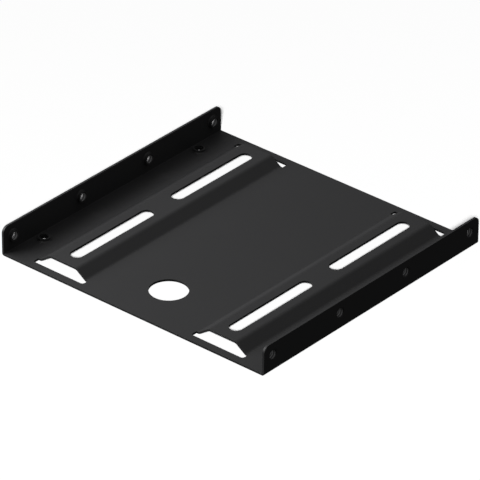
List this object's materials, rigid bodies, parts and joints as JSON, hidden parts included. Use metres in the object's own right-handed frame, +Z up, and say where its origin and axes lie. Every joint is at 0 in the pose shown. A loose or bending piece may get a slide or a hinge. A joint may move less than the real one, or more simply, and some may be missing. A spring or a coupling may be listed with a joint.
{
  "type": "drive bay adapter bracket",
  "caption": "Folded black steel tray that carries a small drive on slotted ridges and screws into a wider drive bay by its side flanges.",
  "frame": {"origin": "middle of the tray's footprint, on the surface that it rests on", "axes": "+X across the tray from the left flange to the right one, +Y from the end with the round opening to the other end, +Z up"},
  "size_m": [0.1016, 0.098, 0.0095],
  "materials": {
    "black_coat": "satin black powder coat"
  },
  "bodies": {
    "root": {"bracket": "black_coat"}
  },
  "joints": []
}
